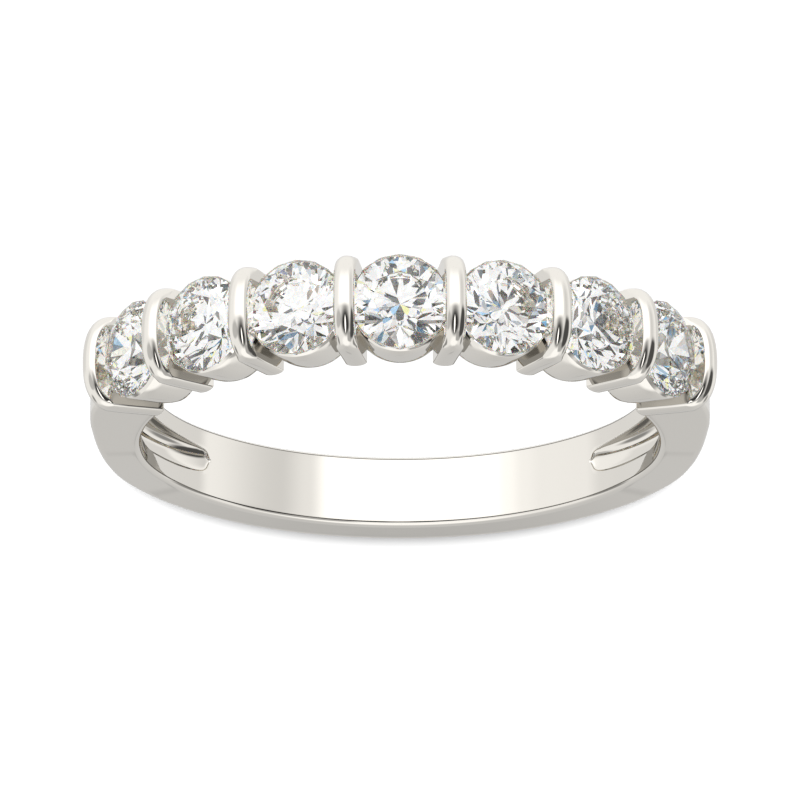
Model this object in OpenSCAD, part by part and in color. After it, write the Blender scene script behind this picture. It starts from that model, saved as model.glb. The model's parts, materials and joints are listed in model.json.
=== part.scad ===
/* [Finger] */
// Inside diameter of the band
finger_d = 17.3; // [16.5:0.1:18.5]

/* [Shank] */
// Wall thickness at the bottom of the band
shank_wall = 1.64; // [1.5:0.05:1.9]
// How much thicker the bottom is than the sides
bottom_extra = 0.25; // [0.1:0.05:0.4]
// Width of the band along the finger, at the bottom
shank_w = 2.5; // [2.3:0.05:2.7]
// Width of the band along the finger, at the shoulders
shoulder_w = 2.81; // [2.7:0.05:3]
// Half the width across the shoulders, beyond the finger radius
shoulder_wall = 1.54; // [1.5:0.02:1.6]

/* [Stones] */
// Diameter of each round stone
stone_d = 3.2; // [3.1:0.05:3.2]
// Gap between the edges of neighbouring stones
stone_gap = 0.155; // [0.14:0.01:0.2]
// Height of the stones' widest edge above the finger
girdle_h = 1.95; // [1.9:0.05:2.05]
// Width of the flat table, as a share of the stone's diameter
table_share = 0.54; // [0.53:0.01:0.64]
// Slope of the crown's main facets
crown_angle = 33; // [32:0.5:36]
// Slope of the pavilion's main facets
pavilion_angle = 40.75; // [40:0.25:41]

/* [Bars and cups] */
// Thickness of each bar
bar_t = 0.70; // [0.66:0.02:0.76]
// Length of each bar along the finger
bar_len = 3.22; // [3.22:0.01:3.3]
// Height of the top of the arched bars above the finger
bar_top_h = 2.82; // [2.75:0.01:2.9]
// Height of the bars' feet above the finger
foot_h = 0.01; // [0.01:0.01:0.05]
// Height of the foot of each round cup above the finger
cup_foot_h = 0.01; // [0.01:0.01:0.05]
// Diameter of the foot of each round cup
cup_foot_d = 2.78; // [2.7:0.02:2.86]
// Height of the rim of each round cup above the finger
cup_rim_h = 1.85; // [1.8:0.01:1.86]

/* [Hidden] */
$fn = 96;

stones = 7;
finger_r = finger_d / 2;
mid_z = bar_len / 2;
far = 30;

// Angles are measured from the middle of the head, which faces -Y
girdle_r = finger_r + girdle_h;
pitch = 2 * asin((stone_d + stone_gap) / 2 / girdle_r);
end_bar_angle = pitch * stones / 2;

// Outline of the shank: one arc round the bottom and a flatter arc up each side
shank_r = finger_r + shank_wall - bottom_extra;
shoulder_r = finger_r + shoulder_wall;
side_arc_r = 22.5;
side_arc_rise = 2.2;
arcs_meet_y = 1.5;
widening_starts_y = 4.1;
widening_ends_y = 0.3;

// Hollow inside each shoulder: a round groove along a smaller circle, set off towards the shoulder
groove_r = 0.65;
groove_circle_r = finger_r - 1.44;
groove_offset = 1.65;
groove_offset_angle = 70;
groove_from = end_bar_angle - 100;
groove_to = 60;

// Arched top of each bar, with a rounder corner at each end, and its domed section
bar_top = finger_r + bar_top_h;
arch_r = 3.6;
corner_r = 0.75;
corner_z = bar_len / 2 - corner_r;
arch_centre = bar_top - arch_r;
corner_height = arch_centre + sqrt(pow(arch_r - corner_r, 2) - pow(corner_z, 2));
dome_r = 0.42;
dome_lap = 0.1;
foot_r = finger_r + foot_h;
leg_chamfer = 0.12;
leg_taper = 0.1;
taper_starts_r = finger_r + 1.05;

// Cups and the seats cut for the stones
cup_r = stone_d / 2;
cup_belly_r = 1.54;
cup_belly_h = 0.6;
cup_hole_r = 0.8;
hole_lap = 0.3;
seat_gap = 0.03;
seat_floor = 0.08;

// Stones: the flat table, and the junctions of the crown's and the pavilion's facets
stone_r = stone_d / 2;
girdle_t = 0.06;
facet_step = 22.5;
top_face_r = stone_r * table_share;
crown_h = (stone_r - top_face_r) * tan(crown_angle);
pavilion_h = stone_r * tan(pavilion_angle);
star_r = 0.75 * stone_r;
star_z = girdle_t / 2 + (stone_r - star_r * cos(facet_step)) * tan(crown_angle);
lower_r = 0.23 * stone_r;
lower_z = -girdle_t / 2 - (stone_r - lower_r * cos(facet_step)) * tan(pavilion_angle);

// The origin lies under the middle of the whole ring's box
box_far_y = finger_r + shank_wall;
box_near_y = -((bar_top - dome_r) * cos(pitch / 2) + dome_r);
shift_y = -(box_far_y + box_near_y) / 2;

silver = [0.82, 0.8, 0.78];
clear = [0.88, 0.93, 0.97];

// Puts a piece that was drawn round the finger's axis into the ring's frame
module placed() {
    translate([0, shift_y, mid_z]) children();
}

// Turns a piece drawn along +X, out from the finger, to an angle from the middle of the head
module at_angle(a) {
    rotate([0, 0, a - 90]) children();
}

module shank_outline() {
    intersection() {
        union() {
            translate([0, bottom_extra]) circle(r = shank_r);
            translate([-far / 2, arcs_meet_y - far]) square([far, far]);
        }
        translate([side_arc_r - shoulder_r, -side_arc_rise]) circle(r = side_arc_r);
        translate([shoulder_r - side_arc_r, -side_arc_rise]) circle(r = side_arc_r);
    }
}

// Room for the head: the sector between the two end bars
module head_sector() {
    polygon([
        [0, 0],
        far * [-sin(end_bar_angle), -cos(end_bar_angle)],
        [-far, -2 * far],
        [far, -2 * far],
        far * [sin(end_bar_angle), -cos(end_bar_angle)]
    ]);
}

// Side view of the shank, which widens towards the shoulders
module width_profile() {
    polygon([
        [far, -shank_w / 2],
        [widening_starts_y, -shank_w / 2],
        [widening_ends_y, -shoulder_w / 2],
        [-far, -shoulder_w / 2],
        [-far, shoulder_w / 2],
        [widening_ends_y, shoulder_w / 2],
        [widening_starts_y, shank_w / 2],
        [far, shank_w / 2]
    ]);
}

// Groove on the finger side of the shoulder at +X
module shoulder_groove() {
    translate(groove_offset * [sin(groove_offset_angle), -cos(groove_offset_angle), 0])
        rotate([0, 0, groove_from])
            rotate_extrude(angle = groove_to - groove_from)
                translate([groove_circle_r, 0]) circle(r = groove_r, $fn = 48);
}

module shank() {
    difference() {
        intersection() {
            translate([0, 0, -shoulder_w / 2]) linear_extrude(height = shoulder_w) difference() {
                shank_outline();
                head_sector();
            }
            translate([-far / 2, 0, 0]) rotate([90, 0, 90]) linear_extrude(height = far) width_profile();
        }
        for (side = [0, 1]) mirror([side, 0, 0]) shoulder_groove();
    }
}

// Arched side view of a bar, in its own plane: +X is out from the finger, +Y along it
module bar_arch() {
    outer = bar_len / 2;
    polygon([
        [foot_r, -outer + leg_taper],
        [taper_starts_r, -outer],
        [corner_height, -outer],
        [corner_height, outer],
        [taper_starts_r, outer],
        [foot_r, outer - leg_taper]
    ]);
    intersection() {
        translate([arch_centre, 0]) circle(r = arch_r);
        translate([foot_r, -corner_z]) square([far, 2 * corner_z]);
    }
    for (side = [-1, 1]) translate([corner_height, side * corner_z]) circle(r = corner_r);
}

// Domed top and plain sides of a bar, seen along the finger
module bar_dome() {
    translate([bar_top - dome_r, far / 2, 0]) rotate([90, 0, 0]) cylinder(r = dome_r, h = far);
    translate([0, -far / 2, -bar_t]) cube([bar_top - dome_r + dome_lap, far, 2 * bar_t]);
}

// Section of a bar's legs, seen from the finger, with its corners taken off
module bar_section() {
    outer = bar_len / 2;
    half = bar_t / 2;
    rotate([0, 90, 0]) linear_extrude(height = far) polygon([
        [-half, -outer + leg_chamfer],
        [-half, outer - leg_chamfer],
        [-half + leg_chamfer, outer],
        [half - leg_chamfer, outer],
        [half, outer - leg_chamfer],
        [half, -outer + leg_chamfer],
        [half - leg_chamfer, -outer],
        [-half + leg_chamfer, -outer]
    ]);
}

// One bar, drawn out along +X, then turned so that its length runs along the finger
module bar() {
    rotate([90, 0, 0]) intersection() {
        translate([0, 0, -bar_t]) linear_extrude(height = 2 * bar_t) bar_arch();
        bar_dome();
        bar_section();
    }
}

// One cup, drawn out along +X: it narrows towards its foot, and more quickly below its belly
module cup() {
    translate([finger_r, 0, 0]) rotate([0, 90, 0]) rotate_extrude() polygon([
        [0, cup_foot_h],
        [cup_foot_d / 2, cup_foot_h],
        [cup_belly_r, cup_belly_h],
        [cup_r, cup_rim_h],
        [0, cup_rim_h]
    ]);
}

// Space for one stone, a little larger all round than the stone, with the hole below it
module seat() {
    half = girdle_t / 2;
    translate([girdle_r, 0, 0]) rotate([0, 90, 0]) {
        rotate_extrude() polygon([
            [0, -half - pavilion_h - seat_floor],
            [stone_r + seat_gap, -half - seat_gap],
            [stone_r + seat_gap, half + seat_gap],
            [star_r + seat_gap, star_z + seat_gap],
            [top_face_r + seat_gap, half + crown_h + seat_gap],
            [0, half + crown_h + seat_gap]
        ]);
        translate([0, 0, -girdle_h - hole_lap]) cylinder(r = cup_hole_r, h = girdle_h + hole_lap - girdle_t);
    }
}

// The row of bars and cups, with the seats cut out of them
module head() {
    difference() {
        union() {
            for (i = [0 : stones]) at_angle((i - stones / 2) * pitch) bar();
            for (i = [1 : stones]) at_angle((i - (stones + 1) / 2) * pitch) cup();
        }
        for (i = [1 : stones]) at_angle((i - (stones + 1) / 2) * pitch) seat();
    }
}

// The cast metal: shank, bars and cups in one piece
module ring_mount() {
    color(silver) placed() {
        difference() {
            shank();
            translate([0, 0, -far / 2]) cylinder(r = finger_r, h = far);
        }
        head();
    }
}

// One round brilliant with its widest edge at z = 0 and its table towards +Z
function ring_points(r, z, turn, n) = [for (i = [0 : n - 1]) [r * cos(i * 360 / n + turn), r * sin(i * 360 / n + turn), z]];

module brilliant() {
    half = girdle_t / 2;
    points = concat(
        ring_points(top_face_r, half + crown_h, 0, 8),
        ring_points(star_r, star_z, facet_step, 8),
        ring_points(stone_r, half, 0, 16),
        ring_points(stone_r, -half, 0, 16),
        ring_points(lower_r, lower_z, facet_step, 8),
        [[0, 0, -half - pavilion_h]]
    );
    table = 0;
    star = 8;
    upper = 16;
    lower = 32;
    junction = 48;
    culet = 56;
    faces = concat(
        [[for (i = [7 : -1 : 0]) table + i]],
        [for (i = [0 : 7]) [table + i, table + (i + 1) % 8, star + i]],
        [for (i = [0 : 7]) [table + i, star + i, upper + 2 * i, star + (i + 7) % 8]],
        [for (i = [0 : 7]) [star + i, upper + 2 * i + 1, upper + 2 * i]],
        [for (i = [0 : 7]) [star + i, upper + (2 * i + 2) % 16, upper + 2 * i + 1]],
        [for (i = [0 : 15]) [upper + i, upper + (i + 1) % 16, lower + (i + 1) % 16, lower + i]],
        [for (i = [0 : 7]) [junction + i, lower + 2 * i, lower + 2 * i + 1]],
        [for (i = [0 : 7]) [junction + i, lower + 2 * i + 1, lower + (2 * i + 2) % 16]],
        [for (i = [0 : 7]) [culet, junction + (i + 7) % 8, lower + 2 * i, junction + i]]
    );
    polyhedron(points = points, faces = faces);
}

module stone(number) {
    color(clear) placed()
        at_angle((number - (stones + 1) / 2) * pitch)
            translate([girdle_r, 0, 0]) rotate([0, 90, 0]) brilliant();
}

ring_mount();
stone(1);  // stone_1
stone(2);  // stone_2
stone(3);  // stone_3
stone(4);  // stone_4
stone(5);  // stone_5
stone(6);  // stone_6
stone(7);  // stone_7
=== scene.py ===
"""The looks of a bar set band: polished white metal, with seven round brilliants between arched bars."""
import json
import math

import bmesh
import bpy
from mathutils import Matrix, Vector


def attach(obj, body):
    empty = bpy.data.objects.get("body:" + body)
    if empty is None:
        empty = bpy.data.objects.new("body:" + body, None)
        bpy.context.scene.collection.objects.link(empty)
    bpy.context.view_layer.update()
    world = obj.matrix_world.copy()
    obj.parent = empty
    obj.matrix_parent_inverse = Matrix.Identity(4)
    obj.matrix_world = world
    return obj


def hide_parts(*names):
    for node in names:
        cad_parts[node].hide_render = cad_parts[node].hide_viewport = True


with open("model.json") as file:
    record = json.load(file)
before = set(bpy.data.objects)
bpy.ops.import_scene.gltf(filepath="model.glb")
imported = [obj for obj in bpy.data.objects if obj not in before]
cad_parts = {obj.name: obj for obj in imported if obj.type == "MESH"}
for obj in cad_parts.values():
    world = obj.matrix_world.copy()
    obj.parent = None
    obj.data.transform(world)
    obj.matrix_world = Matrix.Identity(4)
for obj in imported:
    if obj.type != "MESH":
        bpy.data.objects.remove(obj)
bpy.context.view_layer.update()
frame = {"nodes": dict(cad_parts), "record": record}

# Every size below is in millimetres and every angle in degrees, except the finger's axis, which is in metres
MM = 0.001
ROUND_STEPS = 96  # flat sides of a full circle
mounts = {mount["name"]: mount for mount in frame["record"]["mounts"]}
finger_axis = Vector(mounts["finger_hole"]["pos_m"])
finger_r = mounts["finger_hole"]["dims"]["r_mm"]

STONES = 7
BARS = STONES + 1
STONE_R = 1.6
STONE_GAP = 0.155
GIRDLE_H = 1.95
girdle_r = finger_r + GIRDLE_H
pitch = 2 * math.degrees(math.asin((STONE_R + STONE_GAP / 2) / girdle_r))
end_bar_from_bottom = 180 - pitch * STONES / 2

# Camera: the angle between its line of sight and the finger's axis, its distance, its shift and its lens
VIEW_ANGLE = 71.009
VIEW_DISTANCE = 197.58
VIEW_SIDESTEP = 0.334
LENS = 266.5
SENSOR = 36.0


def smooth_step(low, high, value):
    """0 below low, 1 above high, and an S curve between them."""
    part = min(max((value - low) / (high - low), 0.0), 1.0)
    return part * part * (3 - 2 * part)


def curve_through(table, value):
    """A smooth curve through a short table of (place, amount) rows."""
    if value <= table[0][0]:
        return table[0][1]
    for i in range(len(table) - 1):
        (x0, y0), (x1, y1) = table[i], table[i + 1]
        if value <= x1:
            before = table[i - 1] if i > 0 else (2 * x0 - x1, y1)
            after = table[i + 2] if i + 2 < len(table) else (2 * x1 - x0, 2 * y1 - y0)
            slope_0 = (y1 - before[1]) / (x1 - before[0])
            slope_1 = (after[1] - y0) / (after[0] - x0)
            t = (value - x0) / (x1 - x0)
            width = x1 - x0
            return ((2 * t ** 3 - 3 * t ** 2 + 1) * y0 + (t ** 3 - 2 * t ** 2 + t) * width * slope_0
                    + (3 * t ** 2 - 2 * t ** 3) * y1 + (t ** 3 - t ** 2) * width * slope_1)
    return table[-1][1]


def arc(centre, radius, start, end, steps):
    """Points along an arc in a plane, from one angle to another."""
    points = []
    for i in range(steps + 1):
        a = math.radians(start + (end - start) * i / steps)
        points.append((centre[0] + radius * math.cos(a), centre[1] + radius * math.sin(a)))
    return points


def mesh_object(name, vertices, faces):
    """A mesh from points in millimetres about the finger's axis, with its faces turned outwards."""
    mesh = bpy.data.meshes.new(name)
    mesh.from_pydata([finger_axis + MM * Vector(v) for v in vertices], [], faces)
    shell = bmesh.new()
    shell.from_mesh(mesh)
    bmesh.ops.recalc_face_normals(shell, faces=shell.faces)
    shell.to_mesh(mesh)
    shell.free()
    mesh.polygons.foreach_set("use_smooth", [True] * len(mesh.polygons))
    piece = bpy.data.objects.new(name, mesh)
    bpy.context.scene.collection.objects.link(piece)
    return piece


def bake_modifiers(piece):
    """Turns the result of a piece's modifiers into its plain mesh."""
    bpy.context.view_layer.update()
    evaluated = piece.evaluated_get(bpy.context.evaluated_depsgraph_get())
    mesh = bpy.data.meshes.new_from_object(evaluated)
    piece.modifiers.clear()
    piece.data = mesh
    mesh.name = piece.name
    return piece


def keep_flats_flat(piece):
    """Weights the shading by area, so that a flat face beside a small rounding mirrors as a flat one."""
    weigh = piece.modifiers.new("flat faces lead", "WEIGHTED_NORMAL")
    weigh.mode = "FACE_AREA"
    weigh.weight = 100
    weigh.keep_sharp = True
    return bake_modifiers(piece)


def loft(rings):
    """Faces between rings of equal length, closed round each ring and capped at both ends."""
    count = len(rings[0])
    vertices = [point for ring in rings for point in ring]
    faces = []
    for row in range(len(rings) - 1):
        for i in range(count):
            j = (i + 1) % count
            faces.append((row * count + i, row * count + j, (row + 1) * count + j, (row + 1) * count + i))
    last = (len(rings) - 1) * count
    faces.append(tuple(reversed(range(count))))
    faces.append(tuple(last + i for i in range(count)))
    return vertices, faces


# Camera

def make_camera():
    """Looks over the row of stones at the inside of the band, rolled half a turn as in the photograph."""
    lean = math.radians(VIEW_ANGLE)
    sight = Vector((0, math.sin(lean), -math.cos(lean)))
    up = Vector((0, -math.cos(lean), -math.sin(lean)))
    camera = bpy.data.objects.new("camera", bpy.data.cameras.new("camera"))
    camera.data.lens = LENS
    camera.data.sensor_width = SENSOR
    camera.data.clip_start = 0.01
    camera.data.clip_end = 20
    across = sight.cross(up)
    turn = Matrix((across, up, -sight)).transposed()
    place = finger_axis + MM * (-VIEW_DISTANCE * sight + VIEW_SIDESTEP * up)
    camera.matrix_world = Matrix.Translation(place) @ turn.to_4x4()
    bpy.context.scene.collection.objects.link(camera)
    bpy.context.scene.camera = camera


# Shank

SHANK_OUTER = [  # angle from the bottom of the band, distance from the finger's axis
    (0, 10.29), (20, 10.275), (40, 10.19), (60, 10.14), (70, 10.085), (79, 10.02), (88, 10.05), (97, 10.23),
    (104, 10.5), (110, 10.75), (118, 10.95)
]
SHANK_HALF_WIDTH = 1.252
SHOULDER_HALF_WIDTH = 1.407
WIDENS_FROM = 56
WIDENS_TO = 90
OUTER_EDGE_R = 0.15

# The inner edge turns quickly away from the finger, then slowly into the side face
EDGE_TURN = 37
EDGE_TIGHT_R = 0.06
EDGE_TIGHT_STEPS = 4
EDGE_SLOW_R = 0.24
ROUNDING_STEPS = 8

# The hollow inside each shoulder
HOLLOW_TIP = 48.6
HOLLOW_END = 112
HOLLOW_DEPTH = 0.85
HOLLOW_HALF_WIDTH = [  # angle from the bottom, half the hollow's width
    (HOLLOW_TIP, 0.0), (50, 0.3), (52, 0.415), (55, 0.48), (60, 0.54), (66, 0.585), (74, 0.64), (84, 0.66),
    (120, 0.66)
]
HOLLOW_LEAST_HALF_WIDTH = 0.06
HOLLOW_MIDDLE = [  # angle from the bottom, place of the hollow's middle along the finger
    (HOLLOW_TIP, -0.1), (52, -0.05), (60, -0.02), (66, 0.0), (74, 0.04), (84, 0.06), (120, 0.06)
]
HOLLOW_ROUND = 2.3  # 2 makes the hollow's section an ellipse, and more makes its floor flatter
HOLLOW_STEPS = 16
LIP_R = 0.035
LIP_TURN = 60
LIP_STEPS = 3
LIP_MOST_SHARE = 0.2  # of the hollow's depth or half width, where the hollow is small
LIP_LEAST_RUN = 0.01

# The sections of the shank stand close together where the hollow begins
WIDE_STEP = 1.0
CLOSE_STEP = 0.15
SHOULDER_STEP = 0.75
CLOSE_FROM = HOLLOW_TIP - 1.5
CLOSE_TO = HOLLOW_TIP + 6
WALL_STEPS = 5


def hollow_depth(angle):
    """Depth of the hollow at an angle from the bottom: it falls steeply at the tip and then levels out."""
    run = min(max((angle - HOLLOW_TIP) / (HOLLOW_END - HOLLOW_TIP), 0.0), 1.0)
    return HOLLOW_DEPTH * (1 - (1 - run) ** 3) ** 0.75


def hollow_profile(across, depth):
    """Rows of (place across, depth) for a hollow: a rounded lip, then a section near an ellipse."""
    lip = min(LIP_R, depth * LIP_MOST_SHARE, across * LIP_MOST_SHARE)
    lip_run = max(lip, LIP_LEAST_RUN)
    half = []
    for i in range(LIP_STEPS + 1):
        a = math.radians(LIP_TURN * i / LIP_STEPS)
        half.append((across + lip_run * (1 - math.sin(a)), lip * (1 - math.cos(a))))
    top = half[-1]
    for i in range(1, HOLLOW_STEPS + 1):
        a = math.radians(90 * i / HOLLOW_STEPS)
        place = top[0] * math.cos(a) ** (2 / HOLLOW_ROUND)
        half.append((place, top[1] + (depth - top[1]) * math.sin(a) ** (2 / HOLLOW_ROUND)))
    return [(-place, down) for place, down in half] + list(reversed(half[:-1]))


def inner_edge(half):
    """Points from the finger's side to the side face, as (distance from the axis, place along it)."""
    turn = math.radians(EDGE_TURN)
    depth = EDGE_TIGHT_R * (1 - math.cos(turn)) + EDGE_SLOW_R * math.cos(turn)
    fall = EDGE_TIGHT_R * math.sin(turn) + EDGE_SLOW_R * (1 - math.sin(turn))
    tight = arc((finger_r + EDGE_TIGHT_R, half - fall), EDGE_TIGHT_R, 180, 180 - EDGE_TURN, EDGE_TIGHT_STEPS)
    slow = arc((finger_r + depth, half - EDGE_SLOW_R), EDGE_SLOW_R, 180 - EDGE_TURN, 90, ROUNDING_STEPS)
    return tight + slow[1:]


def shank_section(angle):
    """The shank's closed section at an angle from its bottom, as (distance from the axis, place along it)."""
    outer = curve_through(SHANK_OUTER, angle)
    widening = (SHOULDER_HALF_WIDTH - SHANK_HALF_WIDTH) * smooth_step(WIDENS_FROM, WIDENS_TO, angle)
    half = SHANK_HALF_WIDTH + widening
    across = max(curve_through(HOLLOW_HALF_WIDTH, angle), HOLLOW_LEAST_HALF_WIDTH)
    middle = curve_through(HOLLOW_MIDDLE, angle)
    bevel = inner_edge(half)
    edge = bevel[0][1]
    section = []
    profile = hollow_profile(across, hollow_depth(angle))
    reach = profile[-1][0]
    for i in range(WALL_STEPS):
        section.append((finger_r, -edge + (middle - reach + edge) * i / WALL_STEPS))
    for place, down in profile:
        section.append((finger_r + down, middle + place))
    for i in range(1, WALL_STEPS):
        section.append((finger_r, middle + reach + (edge - middle - reach) * i / WALL_STEPS))
    section += bevel
    flat_from = bevel[-1][0]
    flat_to = outer - OUTER_EDGE_R
    section += [(flat_from + (flat_to - flat_from) * share, half) for share in (0.1, 0.5, 0.9)]
    out_edge = half - OUTER_EDGE_R
    section += arc((flat_to, out_edge), OUTER_EDGE_R, 90, 0, ROUNDING_STEPS)
    section += [(outer, out_edge * share) for share in (0.6, 0.2, -0.2, -0.6)]
    section += arc((flat_to, -out_edge), OUTER_EDGE_R, 0, -90, ROUNDING_STEPS)
    section += [(flat_from + (flat_to - flat_from) * share, -half) for share in (0.9, 0.5, 0.1)]
    section += [(distance, -place) for distance, place in reversed(bevel[1:])]
    return section


def shank_angles():
    """Angles of the shank's sections, from one end bar to the other."""
    half = []
    angle = 0.0
    while angle < end_bar_from_bottom:
        half.append(angle)
        if angle < CLOSE_FROM:
            angle += WIDE_STEP
        elif angle < CLOSE_TO:
            angle += CLOSE_STEP
        else:
            angle += SHOULDER_STEP
    half.append(end_bar_from_bottom)
    return [-a for a in reversed(half[1:])] + half


def mark_painted_edge_shade(shank):
    """Gives the thin strips where both inner edges turn quickly the shank's second material: a dark colour
    painted on as shade.
    """
    section = shank_section(0)
    count = len(section)
    first = section.index(inner_edge(SHANK_HALF_WIDTH)[0])
    near_strip = set(range(first, first + EDGE_TIGHT_STEPS + 1))
    far_strip = {0} | set(range(count - EDGE_TIGHT_STEPS, count))
    for face in shank.data.polygons:
        places = {i % count for i in face.vertices}
        if len(face.vertices) == 4 and (places <= near_strip or places <= far_strip):
            face.material_index = 1


def make_shank():
    rings = []
    for angle in shank_angles():
        a = math.radians(angle)
        rings.append([(r * math.sin(a), r * math.cos(a), z) for r, z in shank_section(abs(angle))])
    shank = mesh_object("shank", *loft(rings))
    mark_painted_edge_shade(shank)
    return keep_flats_flat(shank)


# Bars

BAR_HALF_T = 0.35
BAR_HALF_LENGTH = 1.583
BAR_TOP = 11.475
BAR_FOOT = 8.67
ARCH_FROM = 10.505
ARCH_POWER = 2.38
ARCH_STEPS = 44
LEG_TAPER = 0.09
LEG_BELOW_ARCH = 0.25
FOOT_CORNER_R = 0.16
FOOT_STEPS = 8
BAR_STEPS = 20  # from one flank to the other
LEG_DOME = 0.12
ARCH_DOME = [  # how far the outline faces away from the finger, height of the dome over the bar's flanks
    (0, LEG_DOME), (0.15, 0.19), (0.32, 0.28), (0.6, 0.31), (0.9, 0.27), (1, 0.26)
]


def bar_outline():
    """Rows of (place along the finger, distance from the axis, outward normal, dome's height) round a bar."""
    tube = BAR_HALF_T
    half = BAR_HALF_LENGTH - tube
    rise = BAR_TOP - tube - ARCH_FROM
    rows = []
    foot_half = BAR_HALF_LENGTH - LEG_TAPER
    corner = (foot_half - FOOT_CORNER_R, BAR_FOOT + FOOT_CORNER_R)
    for i in range(3):
        rows.append((corner[0] * i / 3, BAR_FOOT, (0, -1), LEG_DOME))
    for i in range(FOOT_STEPS + 1):
        a = math.radians(-90 + 90 * i / FOOT_STEPS)
        normal = (math.cos(a), math.sin(a))
        z = corner[0] + FOOT_CORNER_R * normal[0]
        rows.append((z, corner[1] + FOOT_CORNER_R * normal[1], normal, LEG_DOME))
    for i in range(1, 6):
        share = i / 6
        z = foot_half + LEG_TAPER * share
        rows.append((z, corner[1] + (ARCH_FROM - LEG_BELOW_ARCH - corner[1]) * share, (1, 0), LEG_DOME))
    for i in range(ARCH_STEPS + 1):
        a = math.radians(90 * i / ARCH_STEPS)
        z = half * math.cos(a) ** (2 / ARCH_POWER)
        h = rise * math.sin(a) ** (2 / ARCH_POWER)
        outwards = ((z / half) ** (ARCH_POWER - 1) / half, (h / rise) ** (ARCH_POWER - 1) / rise)
        slope = Vector(outwards).normalized()
        dome = curve_through(ARCH_DOME, slope.y)
        rows.append((z + tube * slope.x, ARCH_FROM + h + tube * slope.y, tuple(slope), dome))
    mirrored = [(-z, r, (-n[0], n[1]), dome) for z, r, n, dome in reversed(rows[1:-1])]
    return rows + mirrored


def bar_shape():
    """One bar at the middle of the head: its outline, drawn in where the dome curves down to the flanks."""
    outline = bar_outline()
    rings = []
    for j in range(BAR_STEPS + 1):
        a = math.radians(-90 + 180 * j / BAR_STEPS)
        x = BAR_HALF_T * math.sin(a)
        ring = []
        for z, r, normal, dome in outline:
            inset = dome * (1 - math.cos(a))
            ring.append((x, -(r - normal[1] * inset), z - normal[0] * inset))
        rings.append(ring)
    return loft(rings)


# Cups

CUP_R = 1.598
CUP_FOOT = 8.67
CUP_FOOT_R = 1.39
CUP_SIDES = [  # distance from the finger's axis, radius of the cup
    (CUP_FOOT, CUP_FOOT_R), (8.85, 1.455), (9.05, 1.505), (9.4, 1.55), (9.9, 1.58)
]
CUP_RIM = 10.515
CUP_BOWL_DEPTH = 0.72
CUP_HOLE_R = 0.8
CUP_HOLE_DEPTH = 0.78  # from the rim, where the hole's wall starts
CUP_CHAMFER_R = 0.08
CUP_CHAMFER_H = 0.096
CUP_CORNER = 0.008
CUP_EDGE_R = 0.05


def cup_shape():
    """One round cup under the middle stone, turned on an axis that points out from the finger."""
    profile = [(CUP_FOOT_R - CUP_EDGE_R, CUP_FOOT)]
    profile += [(radius, height + CUP_EDGE_R / 2) for height, radius in CUP_SIDES]
    chamfer_from = (CUP_R - CUP_CORNER, CUP_RIM - CUP_CHAMFER_H)
    chamfer_to = (CUP_R - CUP_CHAMFER_R, CUP_RIM - CUP_CORNER)
    profile += [(CUP_R, chamfer_from[1] - CUP_CORNER), chamfer_from]
    profile += [chamfer_to, (chamfer_to[0] - CUP_CORNER, CUP_RIM)]
    profile += [(chamfer_to[0] - 4 * CUP_CORNER, CUP_RIM - CUP_CORNER)]
    profile += [(CUP_HOLE_R + CUP_EDGE_R, CUP_RIM - CUP_BOWL_DEPTH), (CUP_HOLE_R, CUP_RIM - CUP_HOLE_DEPTH)]
    profile += [(CUP_HOLE_R, CUP_FOOT + CUP_EDGE_R), (CUP_HOLE_R + CUP_EDGE_R, CUP_FOOT)]
    vertices = []
    faces = []
    for i in range(ROUND_STEPS):
        a = 2 * math.pi * i / ROUND_STEPS
        vertices += [(q * math.cos(a), -h, q * math.sin(a)) for q, h in profile]
    count = len(profile)
    for i in range(ROUND_STEPS):
        here = i * count
        there = (i + 1) % ROUND_STEPS * count
        for k in range(count):
            m = (k + 1) % count
            faces.append((here + k, here + m, there + m, there + k))
    return vertices, faces


# Rows round the finger

def math_node(nodes, links, operation, *values):
    node = nodes.new("ShaderNodeMath")
    node.operation = operation
    for slot, value in zip(node.inputs, values):
        if isinstance(value, (int, float)):
            slot.default_value = value
        else:
            links.new(value, slot)
    return node.outputs[0]


def socket(tree, name, kind, in_out="INPUT", default=None):
    item = tree.interface.new_socket(name=name, in_out=in_out, socket_type=kind)
    if default is not None:
        item.default_value = default
    return item


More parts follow.
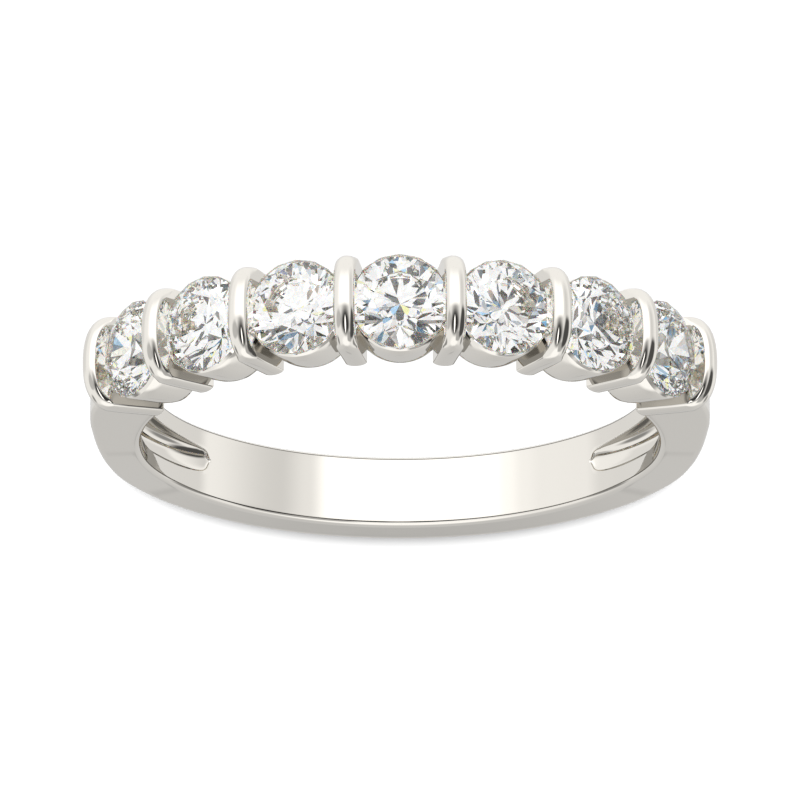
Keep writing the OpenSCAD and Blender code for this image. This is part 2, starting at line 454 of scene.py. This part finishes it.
def row_round_finger():
    """A tree that repeats a piece round the finger's axis, with the row's middle where it was drawn."""
    tree = bpy.data.node_groups.new("row round the finger", "GeometryNodeTree")
    socket(tree, "Piece", "NodeSocketGeometry")
    socket(tree, "Count", "NodeSocketInt", default=BARS)
    socket(tree, "Pitch", "NodeSocketFloat", default=math.radians(pitch))
    socket(tree, "Finger Axis", "NodeSocketVector")
    socket(tree, "Metal", "NodeSocketMaterial")
    socket(tree, "Row", "NodeSocketGeometry", "OUTPUT")
    nodes = tree.nodes
    links = tree.links
    given = nodes.new("NodeGroupInput")
    result = nodes.new("NodeGroupOutput")
    points = nodes.new("GeometryNodePoints")
    links.new(given.outputs["Count"], points.inputs["Count"])
    links.new(given.outputs["Finger Axis"], points.inputs["Position"])
    index = nodes.new("GeometryNodeInputIndex")
    last = math_node(nodes, links, "SUBTRACT", given.outputs["Count"], 1)
    middle = math_node(nodes, links, "MULTIPLY", last, 0.5)
    from_middle = math_node(nodes, links, "SUBTRACT", index.outputs[0], middle)
    angle = math_node(nodes, links, "MULTIPLY", from_middle, given.outputs["Pitch"])
    turn = nodes.new("ShaderNodeCombineXYZ")
    links.new(angle, turn.inputs["Z"])
    centred = nodes.new("GeometryNodeTransform")
    back = nodes.new("ShaderNodeVectorMath")
    back.operation = "SCALE"
    back.inputs["Scale"].default_value = -1
    links.new(given.outputs["Finger Axis"], back.inputs[0])
    links.new(given.outputs["Piece"], centred.inputs["Geometry"])
    links.new(back.outputs[0], centred.inputs["Translation"])
    place = nodes.new("GeometryNodeInstanceOnPoints")
    links.new(points.outputs[0], place.inputs["Points"])
    links.new(centred.outputs[0], place.inputs["Instance"])
    links.new(turn.outputs[0], place.inputs["Rotation"])
    real = nodes.new("GeometryNodeRealizeInstances")
    links.new(place.outputs[0], real.inputs[0])
    finish = nodes.new("GeometryNodeSetMaterial")
    links.new(real.outputs[0], finish.inputs["Geometry"])
    links.new(given.outputs["Metal"], finish.inputs["Material"])
    links.new(finish.outputs[0], result.inputs[0])
    return tree


def make_row(name, shape, count, tree, metal):
    """A row of equal pieces round the finger, as one plain mesh."""
    row = mesh_object(name, *shape)
    keep_flats_flat(row)
    repeat = row.modifiers.new("row", "NODES")
    repeat.node_group = tree
    values = {"Count": count, "Pitch": math.radians(pitch), "Finger Axis": tuple(finger_axis), "Metal": metal}
    for item in tree.interface.items_tree:
        if item.in_out == "INPUT" and item.name in values:
            repeat[item.identifier] = values[item.name]
    return bake_modifiers(row)


# Materials

WHITE_METAL = (0.955, 0.921, 0.858, 1)
# A dark colour painted as shade on the tight turn of both inner edges of the shank
EDGE_SHADE_COLOUR = (0.25, 0.235, 0.21, 1)
ROUGHNESS_FROM = 0.02
ROUGHNESS_TO = 0.07


def node_material(name):
    material = bpy.data.materials.new(name)
    material.use_nodes = True
    material.node_tree.nodes.clear()
    out = material.node_tree.nodes.new("ShaderNodeOutputMaterial")
    return material, material.node_tree.nodes, material.node_tree.links, out


def polished_metal(name, colour):
    """Polished white metal with the faint unevenness that a buffing wheel leaves."""
    material, nodes, links, out = node_material(name)
    metal = nodes.new("ShaderNodeBsdfPrincipled")
    metal.inputs["Metallic"].default_value = 1
    metal.inputs["Base Color"].default_value = colour
    place = nodes.new("ShaderNodeTexCoord")
    uneven = nodes.new("ShaderNodeTexNoise")
    uneven.inputs["Scale"].default_value = 900
    uneven.inputs["Detail"].default_value = 3
    links.new(place.outputs["Object"], uneven.inputs["Vector"])
    gloss = nodes.new("ShaderNodeMapRange")
    gloss.inputs["To Min"].default_value = ROUGHNESS_FROM
    gloss.inputs["To Max"].default_value = ROUGHNESS_TO
    links.new(uneven.outputs["Fac"], gloss.inputs["Value"])
    links.new(gloss.outputs["Result"], metal.inputs["Roughness"])
    links.new(metal.outputs[0], out.inputs["Surface"])
    return material


FIRE = 0.04  # how far red and blue part where light leaves a stone
FIRE_SHARE = 0.14  # the part of the light that does so
STONE_IOR = 2.42
SHEEN_IOR = 1.6  # a lower index for the light that a stone's faces mirror, so that its depth shows through


def bent(nodes, colour, ior):
    bend = nodes.new("ShaderNodeBsdfRefraction")
    bend.inputs["Color"].default_value = colour
    bend.inputs["IOR"].default_value = ior
    bend.inputs["Roughness"].default_value = 0
    return bend


def part_mirrored(nodes, links, ior, through):
    """Light that goes through a face, with the share that Fresnel's law mirrors."""
    mirror = nodes.new("ShaderNodeBsdfAnisotropic")
    mirror.inputs["Color"].default_value = (1, 1, 1, 1)
    mirror.inputs["Roughness"].default_value = 0
    share = nodes.new("ShaderNodeFresnel")
    share.inputs["IOR"].default_value = ior
    both = nodes.new("ShaderNodeMixShader")
    links.new(share.outputs[0], both.inputs[0])
    links.new(through.outputs[0], both.inputs[1])
    links.new(mirror.outputs[0], both.inputs[2])
    return both


def clear_stone():
    """A colourless stone, whose light parts into colours as it leaves."""
    material, nodes, links, out = node_material("colourless brilliant")
    plain = 1 - FIRE_SHARE
    leaving = bent(nodes, (plain, 1, plain, 1), STONE_IOR)
    for colour, ior in (((FIRE_SHARE, 0, 0, 1), STONE_IOR - FIRE), ((0, 0, FIRE_SHARE, 1), STONE_IOR + FIRE)):
        both = nodes.new("ShaderNodeAddShader")
        links.new(leaving.outputs[0], both.inputs[0])
        links.new(bent(nodes, colour, ior).outputs[0], both.inputs[1])
        leaving = both
    front = part_mirrored(nodes, links, SHEEN_IOR, bent(nodes, (1, 1, 1, 1), STONE_IOR))
    back = part_mirrored(nodes, links, STONE_IOR, leaving)
    side = nodes.new("ShaderNodeNewGeometry")
    whole = nodes.new("ShaderNodeMixShader")
    links.new(side.outputs["Backfacing"], whole.inputs[0])
    links.new(front.outputs[0], whole.inputs[1])
    links.new(back.outputs[0], whole.inputs[2])
    links.new(whole.outputs[0], out.inputs["Surface"])
    return material


# Studio

# A low light in front of the head gives the band its thin soft shadow on the floor
SUN_HEIGHT = 16.9
SUN_WIDTH = 3.4
SUN_STRENGTH = 80.0
FLOOR_GLOW = 0.3
FLOOR_COLOUR = (0.1, 0.1, 0.1, 1)
FLOOR_HALF = 1500
INSIDE_FLOOR_MARGIN = 0.7  # how far the floor inside the band reaches under the shank
INSIDE_FLOOR_LIFT = 0.004
PALE = 1.1  # brightness past the floor's edge
TWICE = 0.45  # how much of its light the studio keeps where metal mirrors metal
DEPTH_MIRRORED_ONCE = 2  # the Ray Depth of light that comes to the studio from its first mirror

# Brightness that the metal mirrors near the floor, by the angle round the ring from the camera's side
LOW_RING = [
    (-180, 0.72), (-104, 0.7), (-96, 0.9), (-56, 0.66), (-42, 0.83), (-30, 1.3), (40, 1.3), (50, 1.08),
    (58, 0.96), (68, 0.9), (92, 0.88), (104, 0.74), (120, 0.72), (180, 0.72)
]
LOW_CARDS = [(0, -90, 400, 47, 0.7, 0.92)]  # in the columns of CARDS below
# Up to the first height the metal mirrors what is near the floor, and from the second what stands above it
LOW_BELOW = -16
HIGH_ABOVE = -8
# The same as LOW_RING, above the floor
HIGH_RING = [(-180, 0.56), (-150, 0.62), (-120, 0.84), (120, 0.86), (150, 0.62), (180, 0.56)]

CARDS = [  # angle round the ring, height, half width, half height, softness, brightness
    (0, 90, 400, 27, 0.6, 1.04),
    (180, 17.2, 2.6, 0.9, 1.2, 0.45),
    (-118, 30, 17, 9, 1.0, 0.25),
    (118, 30, 17, 9, 1.0, 0.25),
    (-62, 54, 36, 20, 0.5, 0.42),
    (57, 8, 24, 15, 0.5, 0.5),
    (-72, 15, 26, 33, 0.5, 0.07),
    (-2, 23, 35, 32, 0.9, 0.03),
    (0, 27, 6, 22, 0.35, 1.5),
]

# The studio that light meets after it has passed through a stone
STONE_LIGHT = 1.02
STONE_CARDS = [
    (-52, 8, 20, 40, 0.8, 0.55),
    (-20, 8, 8, 30, 0.3, 0.06),
    (0, -19, 12, 10, 0.3, 0.07),
    (-56, 30, 10, 14, 0.3, 0.15),
    (66, 30, 9, 14, 0.3, 0.08),
    (0, 42, 14, 16, 0.3, 1.5),
    (-30, 50, 8, 8, 0.3, 0.1),
    (-42, 0, 7, 8, 0.3, 0.33),
    (-67, 0, 8, 8, 0.3, 0.1),
    (66, 2, 8, 8, 0.3, 0.33),
    (42, 24, 7, 8, 0.3, 0.2),
    (24, -44, 10, 8, 0.3, 0.36),
    (-100, 20, 12, 30, 0.3, 0.3),
    (-85, 5, 16, 16, 0.6, 0.5),
    (-88, -25, 9, 14, 0.3, 0.3),
    (105, 15, 8, 22, 0.3, 0.4),
    (150, 10, 12, 25, 0.3, 0.3),
    (-150, 20, 12, 25, 0.3, 0.3),
]
# Small cards of colour, which the stones alone show. These take red from what they cover, and some green
COOL_CARDS = [
    (-42, 0, 9, 10, 0.5, 0.1),
    (66, 2, 10, 10, 0.5, 0.09),
    (24, -44, 12, 10, 0.5, 0.12),
    (-100, 20, 14, 32, 0.5, 0.15),
    (-12, -30, 5, 5, 0.5, 0.45),
    (86, 34, 7, 8, 0.5, 0.4),
    (-20, 40, 4, 5, 0.5, 0.2),
]
# And these take blue
WARM_CARDS = [
    (14, -27, 6, 7, 0.5, 0.5),
    (-54, -12, 7, 7, 0.5, 0.5),
    (56, 16, 6, 7, 0.5, 0.5),
    (-44, 42, 7, 7, 0.5, 0.4),
    (90, 6, 7, 8, 0.5, 0.5),
    (-22, 62, 8, 6, 0.5, 0.35),
]


def floor_object(name, corners):
    """One flat face at the floor's height, which the metal doesn't mirror and the stones don't show."""
    floor = mesh_object(name, corners, [tuple(range(len(corners)))])
    floor.data.transform(Matrix.Translation((0, 0, -finger_axis.z)))
    floor.visible_glossy = False
    floor.visible_transmission = False
    floor.visible_diffuse = False
    return floor


def make_floor():
    """A floor that glows white, so that only the band's own shadow shows on it."""
    half = FLOOR_HALF
    floor = floor_object("floor", [(-half, -half, 0), (half, -half, 0), (half, half, 0), (-half, half, 0)])
    material, nodes, links, out = node_material("pale floor")
    surface = nodes.new("ShaderNodeBsdfPrincipled")
    surface.inputs["Base Color"].default_value = FLOOR_COLOUR
    surface.inputs["Roughness"].default_value = 1
    surface.inputs["Specular IOR Level"].default_value = 0
    surface.inputs["Emission Color"].default_value = (1, 1, 1, 1)
    surface.inputs["Emission Strength"].default_value = FLOOR_GLOW
    links.new(surface.outputs[0], out.inputs["Surface"])
    floor.data.materials.append(material)
    return floor


def make_floor_inside(radius):
    """The floor seen through the finger hole, which takes no shadow. Its edge lies under the shank."""
    rim = []
    for i in range(ROUND_STEPS):
        a = 2 * math.pi * i / ROUND_STEPS
        rim.append((radius * math.cos(a), radius * math.sin(a), INSIDE_FLOOR_LIFT))
    inside = floor_object("floor inside the band", rim)
    inside.visible_shadow = False
    material, nodes, links, out = node_material("white floor inside the band")
    glow = nodes.new("ShaderNodeEmission")
    glow.inputs["Strength"].default_value = PALE
    links.new(glow.outputs[0], out.inputs["Surface"])
    inside.data.materials.append(material)


def make_low_light(floor, shank):
    """A soft low light that reaches the floor alone, and that the shank alone keeps from it."""
    light = bpy.data.lights.new("low light", "SUN")
    light.energy = SUN_STRENGTH
    light.angle = math.radians(SUN_WIDTH)
    lamp = bpy.data.objects.new("low light", light)
    lamp.rotation_euler = (math.radians(90 - SUN_HEIGHT), 0, 0)
    bpy.context.scene.collection.objects.link(lamp)
    lit = bpy.data.collections.new("lit by the low light")
    lit.objects.link(floor)
    lamp.light_linking.receiver_collection = lit
    shading = bpy.data.collections.new("shades the low light")
    shading.objects.link(shank)
    lamp.light_linking.blocker_collection = shading


def ring_ramp(nodes, links, angle, stops):
    """Brightness by the angle round the ring, from a short table of stops."""
    ramp = nodes.new("ShaderNodeValToRGB")
    top = max(brightness for turn, brightness in stops)
    elements = ramp.color_ramp.elements
    ramp.color_ramp.interpolation = "EASE"
    while len(elements) < len(stops):
        elements.new(0.5)
    for element, (turn, brightness) in zip(elements, stops):
        element.position = (turn + 180) / 360
        element.color = (brightness / top, brightness / top, brightness / top, 1)
    share = math_node(nodes, links, "MULTIPLY_ADD", angle, 1 / 360, 0.5)
    links.new(share, ramp.inputs[0])
    return math_node(nodes, links, "MULTIPLY", ramp.outputs[0], top)


def soft_step(nodes, links, value, low, high):
    step = nodes.new("ShaderNodeMapRange")
    step.interpolation_type = "SMOOTHSTEP"
    step.inputs["From Min"].default_value = low
    step.inputs["From Max"].default_value = high
    links.new(value, step.inputs["Value"])
    return step.outputs["Result"]


def mixed(nodes, links, share, first, second):
    mix = nodes.new("ShaderNodeMix")
    mix.data_type = "FLOAT"
    links.new(share, mix.inputs[0])
    links.new(first, mix.inputs[2])
    if isinstance(second, (int, float)):
        mix.inputs[3].default_value = second
    else:
        links.new(second, mix.inputs[3])
    return mix.outputs[0]


def with_cards(nodes, links, angle, height, level, cards):
    """Lays soft oval cards over a level of brightness, one after another."""
    for turn, centre, half_width, half_height, softness, brightness in cards:
        away_from = math_node(nodes, links, "SUBTRACT", angle, turn)
        wrapped = math_node(nodes, links, "WRAP", away_from, 180, -180)
        across = math_node(nodes, links, "DIVIDE", wrapped, half_width)
        over_centre = math_node(nodes, links, "SUBTRACT", height, centre)
        upwards = math_node(nodes, links, "DIVIDE", over_centre, half_height)
        squared = math_node(nodes, links, "MULTIPLY", across, across)
        total = math_node(nodes, links, "MULTIPLY_ADD", upwards, upwards, squared)
        away = math_node(nodes, links, "SQRT", total)
        share = soft_step(nodes, links, away, 1 + softness / 2, 1 - softness / 2)
        level = mixed(nodes, links, share, level, brightness)
    return level


def make_world():
    """A round studio: pale walls, a white front, a white ceiling, and dark, light and coloured cards."""
    world = bpy.data.worlds.new("studio")
    bpy.context.scene.world = world
    world.use_nodes = True
    nodes = world.node_tree.nodes
    links = world.node_tree.links
    background = nodes["Background"]
    place = nodes.new("ShaderNodeTexCoord")
    direction = nodes.new("ShaderNodeSeparateXYZ")
    links.new(place.outputs["Generated"], direction.inputs[0])
    to_the_front = math_node(nodes, links, "MULTIPLY", direction.outputs["Y"], -1)
    angle = math_node(nodes, links, "ARCTAN2", direction.outputs["X"], to_the_front)
    angle = math_node(nodes, links, "MULTIPLY", angle, math.degrees(1))
    height = math_node(nodes, links, "ARCSINE", direction.outputs["Z"])
    height = math_node(nodes, links, "MULTIPLY", height, math.degrees(1))
    low = with_cards(nodes, links, angle, height, ring_ramp(nodes, links, angle, LOW_RING), LOW_CARDS)
    high = with_cards(nodes, links, angle, height, ring_ramp(nodes, links, angle, HIGH_RING), CARDS)
    level = mixed(nodes, links, soft_step(nodes, links, height, LOW_BELOW, HIGH_ABOVE), low, high)
    path = nodes.new("ShaderNodeLightPath")
    twice = math_node(nodes, links, "GREATER_THAN", path.outputs["Ray Depth"], DEPTH_MIRRORED_ONCE + 0.5)
    dimmed = math_node(nodes, links, "MULTIPLY_ADD", twice, TWICE - 1, 1)
    level = math_node(nodes, links, "MULTIPLY", level, dimmed)
    even = nodes.new("ShaderNodeValue")
    even.outputs[0].default_value = STONE_LIGHT
    through = with_cards(nodes, links, angle, height, even.outputs[0], STONE_CARDS)
    red = with_cards(nodes, links, angle, height, through, COOL_CARDS)
    blue = with_cards(nodes, links, angle, height, through, WARM_CARDS)
    half_through = math_node(nodes, links, "MULTIPLY", through, 0.5)
    green = math_node(nodes, links, "MULTIPLY_ADD", red, 0.5, half_through)
    colour = nodes.new("ShaderNodeCombineColor")
    for channel, amount in zip(colour.inputs, (red, green, blue)):
        mirrored_or_through = mixed(nodes, links, path.outputs["Is Transmission Ray"], level, amount)
        links.new(mixed(nodes, links, path.outputs["Is Camera Ray"], mirrored_or_through, PALE), channel)
    links.new(colour.outputs[0], background.inputs["Color"])
    background.inputs["Strength"].default_value = 1


def set_view():
    """Plain colours, and enough bounces for light to cross a stone and be mirrored inside it."""
    scene = bpy.context.scene
    scene.view_settings.view_transform = "Standard"
    scene.view_settings.look = "None"
    scene.cycles.max_bounces = 32
    scene.cycles.transmission_bounces = 20
    scene.cycles.glossy_bounces = 24
    scene.cycles.use_denoising = True


make_camera()
metal = polished_metal("polished white metal", WHITE_METAL)
# The shank's second material is painted shade: dark metal along the tight turn of both inner edges
edge_shade_metal = polished_metal("white metal painted dark as shade along the inner edges", EDGE_SHADE_COLOUR)
stone_material = clear_stone()
shank = make_shank()
shank.data.materials.append(metal)
shank.data.materials.append(edge_shade_metal)
row_tree = row_round_finger()
bars = make_row("bars", bar_shape(), BARS, row_tree, metal)
cups = make_row("cups", cup_shape(), STONES, row_tree, metal)
for piece in (shank, bars, cups):
    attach(piece, "root")
    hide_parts("ring_mount")
for i in range(STONES):
    stone = frame["nodes"]["stone_%d" % (i + 1)]
    for slot in stone.material_slots:
        slot.material = stone_material

make_low_light(make_floor(), shank)
make_floor_inside(finger_r + INSIDE_FLOOR_MARGIN)
make_world()
set_view()
